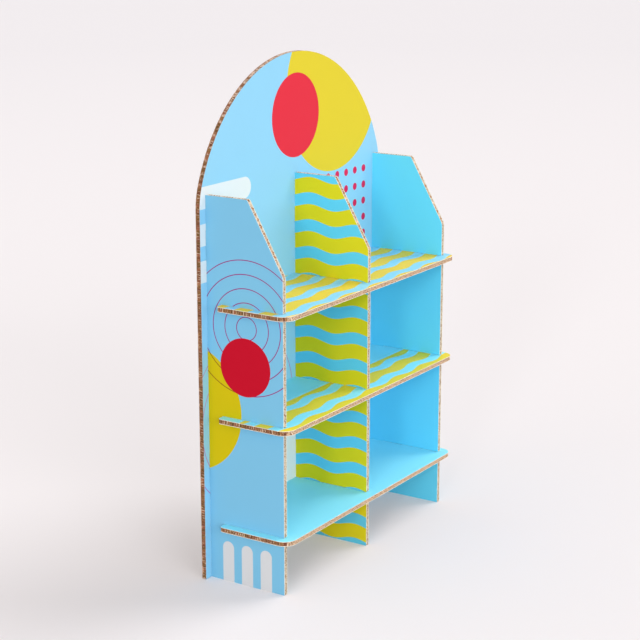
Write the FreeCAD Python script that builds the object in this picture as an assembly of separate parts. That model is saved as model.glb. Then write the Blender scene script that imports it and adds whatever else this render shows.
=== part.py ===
"""Slotted display stand: a tall back panel with an arched top, three uprights and three shelves.

Seven flat boards, all cut from one thickness of paper-core board, with no glue and no fasteners.
Each upright has tabs on its rear edge that go through the back panel. Each shelf is pushed in
from the front: it fills the front slots of the uprights, and its rear notches straddle them.
The part faces -Y, +Z is up, and the origin is on the floor under the middle of the part.
"""
import FreeCAD, Part
import math
import os

from FreeCAD import Vector

# Driving sizes, in millimetres
board = 13.0
fit_gap = 0.5

bay_width = 398.0
panel_margin = 24.5
crown_rise = 328.0
arch_rise = 341.0
arch_blend_radius = 200.0

upright_reach = 237.0
upright_top_reach = 130.0
knee_rise = 95.0
slope_rise = 187.0
knee_radius = 25.0
upright_corner_radius = 8.0

shelf_names = ["lower_shelf", "middle_shelf", "upper_shelf"]
lower_shelf_top = 160.0
shelf_pitch = 300.0
shelf_lip = 29.0
shelf_wing = 24.5
shelf_corner_radius = 35.0
wing_corner_radius = 10.0
lap_reach = 46.0

tab_height = 80.0
tab_rise = 110.0
tab_corner_radius = 4.0

# Sizes that follow from the driving ones
bay_pitch = bay_width + board
uprights_half_width = bay_pitch + board / 2
panel_half_width = uprights_half_width + panel_margin
shelf_half_width = uprights_half_width + shelf_wing
shelf_tops = [lower_shelf_top + level * shelf_pitch for level in range(len(shelf_names))]
knee_height = shelf_tops[-1] + knee_rise
upright_height = knee_height + slope_rise
panel_height = upright_height + crown_rise
shelf_reach = upright_reach + shelf_lip
panel_front = (shelf_reach - board) / 2
upright_places = {"left_upright": -bay_pitch, "centre_upright": 0.0, "right_upright": bay_pitch}


def ahead(reach):
    """The Y of a point that stands this far in front of the back panel's front face."""
    return panel_front - reach


def rounded_wire(corners):
    """A closed wire through the corners, each a point and the radius of the arc that rounds it."""
    edges = []
    starts = []
    ends = []
    for index, (corner, radius) in enumerate(corners):
        before = (corners[index - 1][0] - corner).normalize()
        after = (corners[(index + 1) % len(corners)][0] - corner).normalize()
        half_angle = before.getAngle(after) / 2
        setback = radius / math.tan(half_angle)
        start = corner + before * setback
        end = corner + after * setback
        if radius > 0:
            bisector = (before + after).normalize()
            middle = corner + bisector * (radius / math.sin(half_angle) - radius)
            edges.append(Part.Arc(start, middle, end).toShape())
        starts.append(start)
        ends.append(end)
    for index, end in enumerate(ends):
        following = starts[(index + 1) % len(starts)]
        edges.append(Part.LineSegment(end, following).toShape())
    return Part.Wire(Part.__sortEdges__(edges))


def box(low, high):
    """A block between its lowest and its highest corner."""
    size = high - low
    return Part.makeBox(size.x, size.y, size.z, low)


def arch_wire():
    """The back panel's outline: straight sides, a crown arc, and a smaller arc easing each into it."""
    crown_radius = (panel_half_width ** 2 + arch_rise ** 2) / (2 * arch_rise)
    crown_centre = Vector(0, 0, panel_height - crown_radius)
    blend_offset = panel_half_width - arch_blend_radius
    blend_drop = math.sqrt((crown_radius - arch_blend_radius) ** 2 - blend_offset ** 2)
    spring_height = crown_centre.z + blend_drop
    blend_angle = math.atan2(blend_drop, blend_offset)

    def on_blend(angle):
        x = blend_offset + arch_blend_radius * math.cos(angle)
        return Vector(x, 0, spring_height + arch_blend_radius * math.sin(angle))

    def mirrored(point):
        return Vector(-point.x, point.y, point.z)

    foot = Vector(panel_half_width, 0, 0)
    spring = on_blend(0)
    ease = on_blend(blend_angle / 2)
    joint = on_blend(blend_angle)
    crown = Vector(0, 0, panel_height)
    return Part.Wire([
        Part.LineSegment(mirrored(foot), foot).toShape(),
        Part.LineSegment(foot, spring).toShape(),
        Part.Arc(spring, ease, joint).toShape(),
        Part.Arc(joint, crown, mirrored(joint)).toShape(),
        Part.Arc(mirrored(joint), mirrored(ease), mirrored(spring)).toShape(),
        Part.LineSegment(mirrored(spring), mirrored(foot)).toShape(),
    ])


def back_panel():
    """One upright board with a mortise for each tab of each upright."""
    panel = Part.Face(arch_wire()).extrude(Vector(0, board, 0))
    panel.translate(Vector(0, panel_front, 0))
    mortise_half_width = (board + fit_gap) / 2
    for place in upright_places.values():
        for shelf_top in shelf_tops:
            tab_foot = shelf_top + tab_rise
            low = Vector(place - mortise_half_width, panel_front, tab_foot - fit_gap / 2)
            high = Vector(place + mortise_half_width, panel_front + board, tab_foot + tab_height + fit_gap / 2)
            panel = panel.cut(box(low, high))
    return panel


def upright(place):
    """A side or centre board: straight front edge, a knee, a slope to the top, slots and tabs."""

    def at(reach, height):
        return Vector(place - board / 2, ahead(reach), height)

    outline = rounded_wire([
        (at(0, 0), 0),
        (at(upright_reach, 0), 0),
        (at(upright_reach, knee_height), knee_radius),
        (at(upright_top_reach, upright_height), upright_corner_radius),
        (at(0, upright_height), 0),
    ])
    blank = Part.Face(outline).extrude(Vector(board, 0, 0))
    for shelf_top in shelf_tops:
        slot_end = lap_reach - fit_gap
        slot_low = at(upright_reach + board, shelf_top - board)
        slot_high = at(slot_end, shelf_top + fit_gap) + Vector(board, 0, 0)
        blank = blank.cut(box(slot_low, slot_high))
        tab_foot = shelf_top + tab_rise
        tab_outline = rounded_wire([
            (at(0, tab_foot), 0),
            (at(-board, tab_foot), tab_corner_radius),
            (at(-board, tab_foot + tab_height), tab_corner_radius),
            (at(0, tab_foot + tab_height), 0),
        ])
        blank = blank.fuse(Part.Face(tab_outline).extrude(Vector(board, 0, 0)))
    return blank.removeSplitter()


def shelf(shelf_top):
    """A board across all three uprights, with a lip in front of them and a wing past each side."""
    underside = shelf_top - board

    def at(x, reach):
        return Vector(x, ahead(reach), underside)

    side_notch = uprights_half_width - board - fit_gap / 2
    centre_notch = (board + fit_gap) / 2
    outline = rounded_wire([
        (at(-shelf_half_width, shelf_reach), shelf_corner_radius),
        (at(shelf_half_width, shelf_reach), shelf_corner_radius),
        (at(shelf_half_width, lap_reach), wing_corner_radius),
        (at(side_notch, lap_reach), 0),
        (at(side_notch, 0), 0),
        (at(centre_notch, 0), 0),
        (at(centre_notch, lap_reach), 0),
        (at(-centre_notch, lap_reach), 0),
        (at(-centre_notch, 0), 0),
        (at(-side_notch, 0), 0),
        (at(-side_notch, lap_reach), 0),
        (at(-shelf_half_width, lap_reach), wing_corner_radius),
    ])
    return Part.Face(outline).extrude(Vector(0, 0, board))


pieces = {"back_panel": back_panel()}
for name, place in upright_places.items():
    pieces[name] = upright(place)
for name, shelf_top in zip(shelf_names, shelf_tops):
    pieces[name] = shelf(shelf_top)

os.makedirs("parts", exist_ok=True)
for name, piece in pieces.items():
    piece.exportStep(f"parts/{name}.step")
    extent = piece.BoundBox
    print(f"{name}: {extent.XLength:.1f} x {extent.YLength:.1f} x {extent.ZLength:.1f} mm,"
          f" {piece.Volume / 1e6:.3f} litres, valid {piece.isValid()}, solids {len(piece.Solids)}")
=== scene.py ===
import math
import random

import bmesh
import bpy
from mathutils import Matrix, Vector
from mathutils.geometry import tessellate_polygon


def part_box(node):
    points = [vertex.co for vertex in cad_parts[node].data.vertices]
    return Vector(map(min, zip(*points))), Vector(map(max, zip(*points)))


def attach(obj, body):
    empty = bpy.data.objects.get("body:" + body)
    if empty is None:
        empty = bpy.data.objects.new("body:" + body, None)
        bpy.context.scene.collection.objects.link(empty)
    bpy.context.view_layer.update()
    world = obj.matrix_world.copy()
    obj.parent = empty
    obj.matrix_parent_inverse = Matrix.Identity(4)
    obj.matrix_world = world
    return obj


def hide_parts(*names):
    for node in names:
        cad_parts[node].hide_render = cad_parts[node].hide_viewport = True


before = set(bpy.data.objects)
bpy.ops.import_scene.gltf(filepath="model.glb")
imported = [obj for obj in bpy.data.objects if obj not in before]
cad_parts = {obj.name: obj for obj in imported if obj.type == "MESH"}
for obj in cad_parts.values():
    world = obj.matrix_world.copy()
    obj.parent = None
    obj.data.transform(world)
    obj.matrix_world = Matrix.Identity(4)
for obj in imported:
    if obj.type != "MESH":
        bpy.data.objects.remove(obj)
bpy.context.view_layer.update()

# The view is from the stand's left and from a little above it, far enough off that its uprights
# stay nearly parallel. The camera is level from side to side.
view_azimuth = -57.198
view_elevation = 14.524
sensor_width = 36.0
focal_length = 95.204

camera_data = bpy.data.cameras.new("camera")
camera_data.sensor_width = sensor_width
camera_data.lens = focal_length
camera = bpy.data.objects.new("camera", camera_data)
camera.location = (-3.8232, -2.4157, 1.8120)
camera.rotation_euler = (math.radians(90 - view_elevation), 0, math.radians(view_azimuth))
bpy.context.scene.collection.objects.link(camera)
bpy.context.scene.camera = camera

# The back panel is one tall board with an arched top: two smooth white liners on a fluted paper
# core, cut in one piece with the nine mortises that take the uprights' tabs. Its front is printed
# with a yellow disc, a red one, rows of dots, white bars and thin rings, and its rear is bare.
liner_thickness = 0.001
rim_bevel = 0.0003
flute_pitch = 0.0075
pitch_spread = 0.3
cell_depth = 0.003
wall_depth = 0.0004
wall_thickness = 0.0008
wall_lean = 0.0016
dice = random.Random(13)


def ink(red, green, blue):
    """A colour given as it looks, from 0 to 255, turned into the light it reflects."""
    shares = [value / 255 for value in (red, green, blue)]
    return tuple([s / 12.92 if s <= 0.04045 else ((s + 0.055) / 1.055) ** 2.4 for s in shares] + [1.0])


class Wire:
    """One output of a finish's nodes. The operators on it add Math nodes to the same finish."""

    def __init__(self, finish, socket):
        self.finish = finish
        self.socket = socket

    def math(self, operation, *others):
        return self.finish.add("Math", {"operation": operation}, dict(enumerate((self,) + others)))

    def __add__(self, other):
        return self.math("ADD", other)

    def __radd__(self, other):
        return self.math("ADD", other)

    def __sub__(self, other):
        return self.math("SUBTRACT", other)

    def __rsub__(self, other):
        return self.math("MULTIPLY_ADD", -1.0, other)

    def __mul__(self, other):
        return self.math("MULTIPLY", other)

    def __rmul__(self, other):
        return self.math("MULTIPLY", other)

    def __truediv__(self, other):
        return self.math("DIVIDE", other)

    def __mod__(self, other):
        return self.math("FLOORED_MODULO", other)

    def __pow__(self, other):
        return self.math("POWER", other)

    def __abs__(self):
        return self.math("ABSOLUTE")

    def above(self, other):
        return self.math("MAXIMUM", other)

    def under(self, reach, blur=0.0004):
        """1 where this is under the reach and 0 past it, with a printed edge as soft as the blur."""
        settings = {"operation": "MULTIPLY_ADD", "use_clamp": True}
        return self.finish.add("Math", settings, {0: self, 1: -1 / blur, 2: reach / blur + 0.5})


class Finish:
    """The nodes of one surface, with the place on the stand that they start from, in metres."""

    def __init__(self, tree):
        self.tree = tree
        tree.nodes.clear()
        self.place = self.add("TexCoord", {}, {}, "Object")
        self.x, self.y, self.z = [self.add("SeparateXYZ", {}, {0: self.place}, axis) for axis in "XYZ"]

    def add(self, kind, settings, values, output=0):
        node = self.tree.nodes.new("ShaderNode" + kind)
        for name, value in settings.items():
            setattr(node, name, value)
        for name, value in values.items():
            if isinstance(value, Wire):
                self.tree.links.new(value.socket, node.inputs[name])
            else:
                node.inputs[name].default_value = value
        return Wire(self, node.outputs[output]) if node.outputs else node

    def noise(self, scale, detail=2.0):
        return self.add("TexNoise", {}, {"Vector": self.place, "Scale": scale, "Detail": detail})

    def paint(self, ground, mask, colour):
        return self.add("Mix", {"data_type": "RGBA"}, {0: mask, 6: ground, 7: colour}, 2)

    def shade(self, colour, amount):
        full = colour if isinstance(colour, Wire) else colour[:3]
        return self.add("VectorMath", {"operation": "SCALE"}, {0: full, "Scale": amount})

    def show(self, colour, roughness, height, depth):
        """Paper with this colour and roughness, and a relief as deep as depth where height goes to 1."""
        bump = self.add("Bump", {}, {"Strength": 1.0, "Distance": depth, "Height": height})
        looks = {"Base Color": colour, "Roughness": roughness, "Normal": bump, "Specular IOR Level": 0.12}
        self.add("OutputMaterial", {}, {"Surface": self.add("BsdfPrincipled", {}, looks)})


def span(first, second):
    return (first * first + second * second) ** 0.5


def disc(first, second, radius):
    return span(first, second).under(radius)


def bar(first, second, half_first, half_second, rounding):
    """A rounded bar round the origin of its two coordinates."""
    past_first = (abs(first) - (half_first - rounding)).above(0.0)
    past_second = (abs(second) - (half_second - rounding)).above(0.0)
    return span(past_first, past_second).under(rounding)


def nearest(value, pitch):
    """How far the value is from the nearest whole number of pitches."""
    return (value + pitch / 2) % pitch - pitch / 2


def rings(first, second, smallest, pitch, count, line):
    """Thin circles about one centre, a pitch apart."""
    radius = span(first, second)
    drawn = abs(nearest(radius - smallest, pitch)).under(line / 2)
    return drawn * radius.under(smallest + (count - 0.5) * pitch)


def plain(colour):
    """Artwork that is one colour all over."""
    return lambda finish: colour


def printed(name, artwork, flute_side):
    """Ink on a smooth liner. Artwork draws it, and flute_side is the axis that the flutes repeat along."""
    material = bpy.data.materials.new(name)
    material.use_nodes = True
    finish = Finish(material.node_tree)
    fibres = finish.noise(1500.0)
    mottle = finish.noise(14.0)
    flutes = (getattr(finish, flute_side) * (math.tau / flute_pitch)).math("COSINE")
    inked = finish.shade(artwork(finish), 0.97 + 0.03 * fibres + 0.03 * mottle)
    roughness = 0.44 + 0.08 * fibres + 0.06 * mottle
    finish.show(inked, roughness, fibres * 0.6 + flutes * 0.4, 0.00003)
    return material


def outlines(node, along, side):
    """The closed outlines of a board's broad face, read from its solid, with the board on their left."""
    across = 3 - along - side
    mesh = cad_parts[node].data
    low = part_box(node)[0]
    steps = {}
    for face in mesh.polygons:
        corners = [mesh.vertices[index].co for index in face.vertices]
        if max(corner[across] for corner in corners) - low[across] < 1e-5:
            keys = [(round(corner[along], 5), round(corner[side], 5)) for corner in corners]
            for start, end in zip(keys, keys[1:] + keys[:1]):
                steps[start, end] = True
    follow = {start: end for start, end in steps if (end, start) not in steps}
    loops = []
    while follow:
        start, end = follow.popitem()
        loop = [Vector(start)]
        while end != start:
            loop.append(Vector(end))
            end = follow.pop(end)
        loops.append(loop)
    loops.sort(key=lambda loop: -abs(signed_area(loop)))
    for index, loop in enumerate(loops):
        if (signed_area(loop) > 0) != (index == 0):
            loop.reverse()
    return [smoothed(loop) for loop in loops]


def signed_area(loop):
    return sum(a.x * b.y - a.y * b.x for a, b in zip(loop, loop[1:] + loop[:1])) / 2


def turn(before, after):
    return math.atan2(before.x * after.y - before.y * after.x, before.dot(after))


def smoothed(loop):
    """The outline with the short steps of its round stretches split along their arcs."""
    longest_step = 0.03
    least_turn = math.radians(0.5)
    most_turn = math.radians(25)
    arc_splits = 3
    points = []
    for index, start in enumerate(loop):
        end = loop[(index + 1) % len(loop)]
        chord = end - start
        turns = [turn(start - loop[index - 1], chord), turn(chord, loop[(index + 2) % len(loop)] - end)]
        points.append(start)
        bend = max(turns, key=abs)
        if chord.length < longest_step and abs(bend) < most_turn and min(map(abs, turns)) > least_turn:
            radius = chord.length / 2 / math.sin(bend / 2)
            outward = Vector((chord.y, -chord.x)).normalized()
            for step in range(1, arc_splits):
                angle = bend * (step / arc_splits - 0.5)
                reach = chord.length / 2 + radius * math.sin(angle)
                rise = radius * (math.cos(angle) - math.cos(bend / 2))
                points.append(start + chord.normalized() * reach + outward * rise)
    return points


def recess(direction):
    """How far the core stands back from a cut in this direction, most where it crosses the flutes."""
    return wall_depth + (cell_depth - wall_depth) * abs(direction.y)


def inset(loop, depth):
    """The outline moved into the board, each stretch by the depth for its direction."""
    straight = math.sin(math.radians(20))
    moved = []
    for index, corner in enumerate(loop):
        before = (corner - loop[index - 1]).normalized()
        after = (loop[(index + 1) % len(loop)] - corner).normalized()
        bend = before.x * after.y - before.y * after.x
        if abs(bend) < straight:
            inward = Vector((-before.y - after.y, before.x + after.x)).normalized()
            moved.append(corner + inward * (depth(before) + depth(after)) / 2)
        else:
            moved.append(corner + (after * depth(before) - before * depth(after)) / bend)
    return moved


def plate(mesh, levels, spot, edge_finish, cap_finishes):
    """A closed plate through levels, each a height and the outlines there, from the lowest up."""
    rings_of_corners = []
    for height, loops in levels:
        rings_of_corners.append([[mesh.verts.new(spot(point, height)) for point in loop] for loop in loops])
    for lower, upper in zip(rings_of_corners, rings_of_corners[1:]):
        for below, over in zip(lower, upper):
            for index in range(len(below)):
                corners = (below[index - 1], below[index], over[index], over[index - 1])
                mesh.faces.new(corners).material_index = edge_finish
    for (height, loops), corner_loops, finish_index in zip(
            (levels[0], levels[-1]), (rings_of_corners[0], rings_of_corners[-1]), cap_finishes):
        corners = [corner for loop in corner_loops for corner in loop]
        for triangle in tessellate_polygon([[point.to_3d() for point in loop] for loop in loops]):
            mesh.faces.new([corners[index] for index in triangle]).material_index = finish_index


def crossings(loop, level):
    """Where the line at this level along the flutes crosses an outline, and how steeply, in order."""
    found = []
    for start, end in zip(loop, loop[1:] + loop[:1]):
        if (start.y > level) != (end.y > level):
            share = (level - start.y) / (end.y - start.y)
            found.append((start.x + share * (end.x - start.x), abs((end - start).normalized().y)))
    return sorted(found)


def cell_walls(mesh, loop, low, high, spot, wall_finish):
    """The ends of the flutes' walls, which show where a cut crosses the flutes."""
    least_steep = 0.12
    end_gap = 0.0002
    bite = 0.0005
    first_share = 0.4
    level = min(point.y for point in loop) + flute_pitch * first_share
    highest = max(point.y for point in loop)
    while level < highest:
        lean = dice.uniform(-wall_lean, wall_lean)
        half = wall_thickness / 2
        rows = [(level + lean - half, low), (level + lean + half, low),
                (level - lean + half, high), (level - lean - half, high)]
        hits = [crossings(loop, row) for row, height in rows]
        if len({len(found) for found in hits}) == 1:
            for index, column in enumerate(zip(*hits)):
                inward = 1 if index % 2 == 0 else -1
                if min(steep for reach, steep in column) < least_steep:
                    continue
                ends = []
                for outer in (True, False):
                    corners = []
                    for (row, height), (reach, steep) in zip(rows, column):
                        depth = end_gap if outer else recess(Vector((0, steep))) + bite
                        point = Vector((reach + inward * depth / steep, row))
                        corners.append(mesh.verts.new(spot(point, height)))
                    ends.append(corners)
                near, deep = ends
                faces = [near, deep]
                for corner in range(4):
                    faces.append([near[corner - 1], near[corner], deep[corner], deep[corner - 1]])
                for corners in faces:
                    mesh.faces.new(corners).material_index = wall_finish
        level += flute_pitch * dice.uniform(1 - pitch_spread, 1 + pitch_spread)


def finished(name, mesh, finishes, node):
    """A piece from its mesh and its finishes, which stands for a solid of the frame."""
    bmesh.ops.recalc_face_normals(mesh, faces=mesh.faces)
    data = bpy.data.meshes.new(name)
    mesh.to_mesh(data)
    mesh.free()
    for finish in finishes:
        data.materials.append(finish)
    piece = bpy.data.objects.new(name, data)
    bpy.context.scene.collection.objects.link(piece)
    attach(piece, "root")
    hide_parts(node)


def paper_cut(name, colour, other_colour):
    """Bare paper in patches of two shades: the liners' cut edges and the walls of the flutes."""
    material = bpy.data.materials.new(name)
    material.use_nodes = True
    finish = Finish(material.node_tree)
    fibres = finish.noise(900.0)
    patches = 1 - finish.noise(70.0, 1.0).under(0.56, 0.1)
    shaded = finish.shade(finish.paint(colour, patches, other_colour), 0.92 + 0.12 * fibres)
    finish.show(shaded, 0.75 + 0.1 * fibres, fibres, 0.0001)
    return material


def core_cut(name, along, side, closing, clean_share, smooth_wall):
    """The fluted core: a wall where the cut follows the flutes, and open cells where it crosses them.

    The flutes run along one axis and repeat along side. More closing shuts more cells on a slanting
    cut, and a larger clean_share leaves fewer dark specks on the wall.
    """
    material = bpy.data.materials.new(name)
    material.use_nodes = True
    finish = Finish(material.node_tree)
    facing = finish.add("TexCoord", {}, {}, "Normal")
    across = abs(finish.add("SeparateXYZ", {}, {0: facing}, along.upper()))
    fibres = finish.noise(700.0)
    streaks = finish.noise(80.0)
    specks = finish.noise(330.0, 1.0)
    patches = finish.noise(85.0, 1.0)
    closed_share = (1 - across) * closing + (patches - 0.5) * 2 * across * (1 - across ** 6)
    band = (getattr(finish, side) / (2 * flute_pitch)) % 1.0
    open_cells = 1 - band.under(closed_share, 0.25)
    cell = (getattr(finish, side) / flute_pitch).math("FLOOR")
    chance = finish.add("TexWhiteNoise", {"noise_dimensions": "1D"}, {"W": cell}, "Value")
    other_chance = finish.add("TexWhiteNoise", {"noise_dimensions": "1D"}, {"W": cell + 0.5}, "Value")
    # The open cells are a dark brown that changes from cell to cell: partly the core paper's own brown,
    # partly painted shade of the deep flute channels behind the cut.
    shaded_cells = finish.paint(ink(148, 92, 72), other_chance, ink(134, 102, 60))
    shaded_cells = finish.shade(shaded_cells, 0.46 + 0.75 * chance + 0.35 * streaks)
    wall = finish.paint(smooth_wall, 1 - specks.under(clean_share, 0.08), ink(128, 92, 64))
    wall = finish.shade(wall, 0.76 + 0.38 * streaks + 0.12 * fibres)
    finish.show(finish.paint(wall, open_cells, shaded_cells), 0.8 + 0.1 * fibres, fibres, 0.0002)
    return material


pale_cut = paper_cut("liner_cut_edge", ink(242, 238, 226), ink(230, 222, 206))
brown_cut = paper_cut("panel_liner_cut_edge", ink(150, 112, 84), ink(196, 158, 128))
flute_wall = paper_cut("flute_wall", ink(168, 122, 88), ink(226, 200, 174))


def board(node, along, side, low_face, high_face, core, liner_cut=pale_cut):
    """A board as two pieces: its pair of liners with a printed or bare face each, and its fluted core."""
    axes = {"x": 0, "y": 1, "z": 2}
    low_index, high_index, cut_index = range(3)
    along, side = axes[along], axes[side]
    across = 3 - along - side
    lowest, highest = [corner[across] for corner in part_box(node)]
    loops = outlines(node, along, side)

    def spot(point, height):
        place = Vector((0, 0, 0))
        place[along], place[side], place[across] = point.x, point.y, height
        return place

    bevelled = [inset(loop, lambda direction: rim_bevel) for loop in loops]
    liners = bmesh.new()
    lower = [(lowest, bevelled), (lowest + rim_bevel, loops), (lowest + liner_thickness, loops)]
    upper = [(highest - liner_thickness, loops), (highest - rim_bevel, loops), (highest, bevelled)]
    plate(liners, lower, spot, cut_index, (low_index, cut_index))
    plate(liners, upper, spot, cut_index, (cut_index, high_index))
    finished(node + "_liners", liners, [low_face, high_face, liner_cut], node)

    fluting = bmesh.new()
    core_index, wall_index = range(2)
    mortises = [inset(loop, lambda direction: wall_depth) for loop in loops[1:]]
    held_back = [inset(loops[0], recess)] + mortises
    core_low, core_high = lowest + liner_thickness, highest - liner_thickness
    levels = [(core_low, held_back), (core_high, held_back)]
    plate(fluting, levels, spot, core_index, (core_index, core_index))
    cell_walls(fluting, loops[0], core_low, core_high, spot, wall_index)
    finished(node + "_core", fluting, [core, flute_wall], node)


def panel_artwork(finish):
    """The panel's front, drawn from across and up the panel, in metres."""
    sky_blue, white = ink(138, 197, 227), ink(212, 221, 225)
    yellow, red, dot_red = ink(211, 192, 44), ink(212, 42, 60), ink(204, 30, 80)
    ring_purple = ink(168, 110, 176)
    x, z = finish.x, finish.z
    colour = finish.paint(sky_blue, disc(x - 0.1915, z - 1.2567, 0.2375), yellow)

    dot_pitch, dot_radius = 0.0478, 0.0105
    last_dot, top_dot = 0.355, 1.004
    dots = disc(nearest(x - last_dot, dot_pitch), nearest(z - top_dot, dot_pitch), dot_radius)
    field_half = 2.5 * dot_pitch
    field_x, field_z = x - (last_dot - 2 * dot_pitch), z - (top_dot - 2 * dot_pitch)
    dot_field = bar(field_x, field_z, field_half, field_half, 0.001)
    colour = finish.paint(colour, dots * dot_field, dot_red)

    ring_lines = rings(x + 0.258, z - 0.414, 0.0415, 0.049, 5, 0.0024)
    colour = finish.paint(colour, ring_lines, ring_purple)
    bar_pitch, bar_half = 0.0957, 0.0287
    for row in range(3):
        side_bar = bar(x + 0.365, z - (1.0345 - bar_pitch * row), 0.150, bar_half, bar_half)
        foot_bar = bar(x + 0.0285 + bar_pitch * row, z - 0.09, bar_half, 0.25, bar_half)
        colour = finish.paint(colour, side_bar.above(foot_bar), white)
    return finish.paint(colour, disc(x, z - 1.198, 0.1148), red)


bare_white = plain(ink(242, 239, 232))
panel_print = printed("panel_front_print", panel_artwork, "z")
panel_rear = printed("panel_rear_liner", bare_white, "z")
panel_core = core_cut("panel_core", "x", "z", 1.3, 0.56, ink(224, 198, 180))
board("back_panel", "x", "z", panel_print, panel_rear, panel_core, brown_cut)

# The three uprights are the same board, cut with a knee and a slope at the front, slots for the
# shelves and tabs for the panel. Their flutes stand on end. The left one has rings, discs and
# bars on its outer face, the centre one has waves on its left face, and the rest is plain blue,
# its red held low as painted shade.


def left_artwork(finish):
    """The left upright's outer face, drawn from its depth and height, in metres."""
    # Its blue, white, yellow and red are darker copies of the panel's same inks: painted shade on this side
    # of the stand.
    sky_blue, white = ink(120, 184, 216), ink(207, 207, 209)
    yellow, red = ink(201, 180, 0), ink(188, 0, 34)
    ring_purple, ring_over_yellow = ink(147, 25, 114), ink(138, 87, 14)
    y, z = finish.y, finish.z
    yellow_disc = disc(y - 0.1965, z - 0.470, 0.1755)
    colour = finish.paint(sky_blue, yellow_disc, yellow)
    line = finish.paint(ring_purple, yellow_disc, ring_over_yellow)
    colour = finish.paint(colour, rings(y - 0.0025, z - 0.7073, 0.0308, 0.037, 5, 0.0024), line)
    bar_pitch, bar_half = 0.0607, 0.018
    for row in (-1, 0, 1):
        foot_bar = bar(y - 0.008 - bar_pitch * row, z, bar_half, 0.1135, bar_half)
        colour = finish.paint(colour, foot_bar, white)
    return finish.paint(colour, disc(y - 0.0077, z - 0.6029, 0.0782), red)


def waves(along, up, crest, middle):
    """Stripes that wave along one coordinate and repeat up the other, a third wider than their gaps.

    They peak at crest, and middle is the mean height of one of them.
    """
    wave_length = 0.1455
    wave_height = 0.0065
    stripe_pitch = 0.075
    stripe_width = 0.0424
    rise = ((along - crest) * (math.tau / wave_length)).math("COSINE") * wave_height
    return abs(nearest(up - rise - middle, stripe_pitch)).under(stripe_width / 2)


def centre_artwork(finish):
    """The centre upright's left face: yellow waves on blue."""
    # The blue has less red than the panel's same ink: painted shade, the deep cyan of the shaded bays.
    return finish.paint(ink(99, 203, 230), waves(finish.y, finish.z, 0.0745, 0.9309), ink(224, 207, 27))


# This blue, on the uprights' other faces and the upper two shelves' undersides, has its red held low:
# painted shade, the deep cyan of the shaded bays.
bay_shade_blue = plain(ink(104, 214, 244))
upright_blue = printed("upright_blue_print", bay_shade_blue, "y")
left_print = printed("left_upright_print", left_artwork, "y")
centre_print = printed("centre_upright_print", centre_artwork, "y")
upright_core = core_cut("upright_core", "z", "y", 2.15, 0.56, ink(198, 182, 161))
left_faces = {"left_upright": left_print, "centre_upright": centre_print, "right_upright": upright_blue}
for node, left_face in left_faces.items():
    board(node, "z", "y", left_face, upright_blue, upright_core)

# The three shelves are pushed in from the front. The upper one is printed with waves all over,
# the middle one with waves on its front half, and the lower one is plain. Below, the lower one is
# bare and the other two are blue.
# The shelves' tops have lighter copies of the panel's blue and yellow: painted light on the tops.
lit_shelf_blue = ink(148, 238, 255)


def upper_artwork(finish):
    """The upper shelf's top: yellow waves on blue."""
    # Its blue and yellow are lighter copies of the panel's inks: painted light on the shelf's top.
    return finish.paint(ink(152, 221, 248), waves(finish.x, finish.y, -0.152, -0.0783), ink(248, 214, 69))


def middle_artwork(finish):
    """The middle shelf's top: yellow waves up to its middle, and blue behind them."""
    wavy = waves(finish.x, finish.y, -0.152, -0.0625) * finish.y.under(0.0123)
    # Its yellow is a lighter copy of the panel's: painted light on the shelf's top.
    return finish.paint(lit_shelf_blue, wavy, ink(246, 222, 60))


underside_print = printed("shelf_underside_print", bay_shade_blue, "y")
lowest_underside = printed("lower_shelf_underside_liner", bare_white, "y")
shelf_core = core_cut("shelf_core", "x", "y", 1.4, 0.56, ink(202, 171, 143))
tops = {"lower_shelf": printed("lower_shelf_print", plain(lit_shelf_blue), "y"),
        "middle_shelf": printed("middle_shelf_print", middle_artwork, "y"),
        "upper_shelf": printed("upper_shelf_print", upper_artwork, "y")}
for node, top_face in tops.items():
    underside = lowest_underside if node == "lower_shelf" else underside_print
    board(node, "x", "y", underside, top_face, shelf_core)

# The stand is lit softly from low in front, from high on its right and more lightly from its left,
# on a plain pale floor that runs on as the background and is a little darker far off.
floor_half = 60.0
floor_mesh = bmesh.new()
floor_mesh.faces.new([floor_mesh.verts.new((x * floor_half, y * floor_half, 0))
                      for x, y in ((-1, -1), (1, -1), (1, 1), (-1, 1))])
floor_data = bpy.data.meshes.new("floor")
floor_mesh.to_mesh(floor_data)
floor_mesh.free()
floor = bpy.data.objects.new("floor", floor_data)
bpy.context.scene.collection.objects.link(floor)


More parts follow.
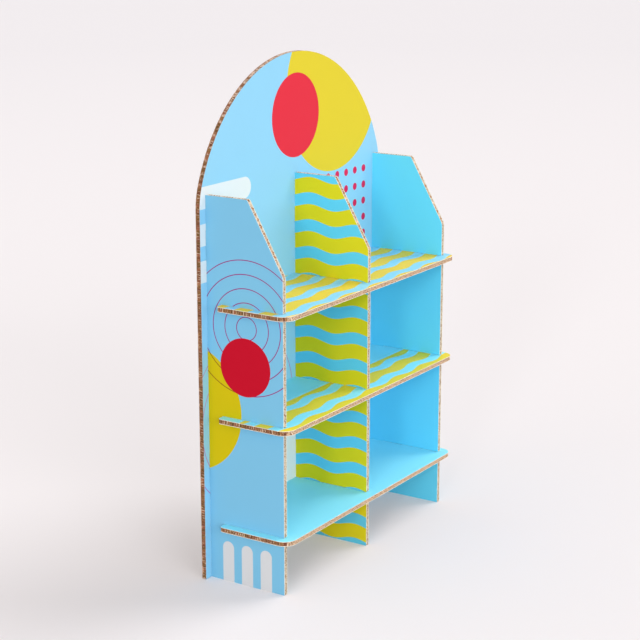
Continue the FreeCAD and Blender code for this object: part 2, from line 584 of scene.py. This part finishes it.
def looked_at(finish):
    """1 where a backdrop is seen, also in a gloss or through something, and 0 for the light it gives."""
    kinds = ("Is Camera Ray", "Is Glossy Ray", "Is Transmission Ray")
    direct, glossy, through = [finish.add("LightPath", {}, {}, kind) for kind in kinds]
    return direct.above(glossy).above(through)


floor_material = bpy.data.materials.new("floor_paper")
floor_material.use_nodes = True
floor_finish = Finish(floor_material.node_tree)
seen = looked_at(floor_finish)
far_off = 1 - span(floor_finish.x, floor_finish.y).under(9.0, 12.0)
seen_colour = floor_finish.paint(ink(229, 225, 227), far_off, ink(222, 219, 222))
floor_colour = floor_finish.paint(ink(200, 198, 199), seen, seen_colour)
floor_glow = floor_finish.paint(ink(0, 0, 0), seen, ink(92, 84, 80))
floor_looks = {"Base Color": floor_colour, "Roughness": 1.0, "Specular IOR Level": 0.0,
               "Emission Color": floor_glow, "Emission Strength": 1.0}
floor_surface = floor_finish.add("BsdfPrincipled", {}, floor_looks)
floor_finish.add("OutputMaterial", {}, {"Surface": floor_surface})
floor_data.materials.append(floor_material)

world = bpy.data.worlds.new("studio")
world.use_nodes = True
sky = Finish(world.node_tree)
sky_light = sky.add("Background", {}, {"Color": (1, 1, 1, 1), "Strength": 0.55})
sky_seen = sky.add("Background", {}, {"Color": ink(243, 239, 241), "Strength": 1.0})
sky_mix = sky.add("MixShader", {}, {0: looked_at(sky), 1: sky_light, 2: sky_seen})
sky.add("OutputWorld", {}, {"Surface": sky_mix})
bpy.context.scene.world = world


def sun(name, azimuth, elevation, light, softness):
    """A far-off lamp, turned from the stand's front towards its left. A light of 1 shows white as it is."""
    data = bpy.data.lights.new(name, "SUN")
    data.energy = light * math.pi
    data.angle = math.radians(softness)
    lamp = bpy.data.objects.new(name, data)
    lamp.rotation_euler = (math.radians(90 - elevation), 0, math.radians(-azimuth))
    bpy.context.scene.collection.objects.link(lamp)


sun("low_front_lamp", 30, 12, 0.48, 35)
sun("front_lamp", 0, 10, 0.18, 35)
sun("low_left_lamp", 100, 11, 0.22, 45)
sun("side_lamp", 73, 15, 0.15, 9)
sun("right_lamp", -60, 47, 0.42, 35)

bpy.context.scene.view_settings.view_transform = "Standard"
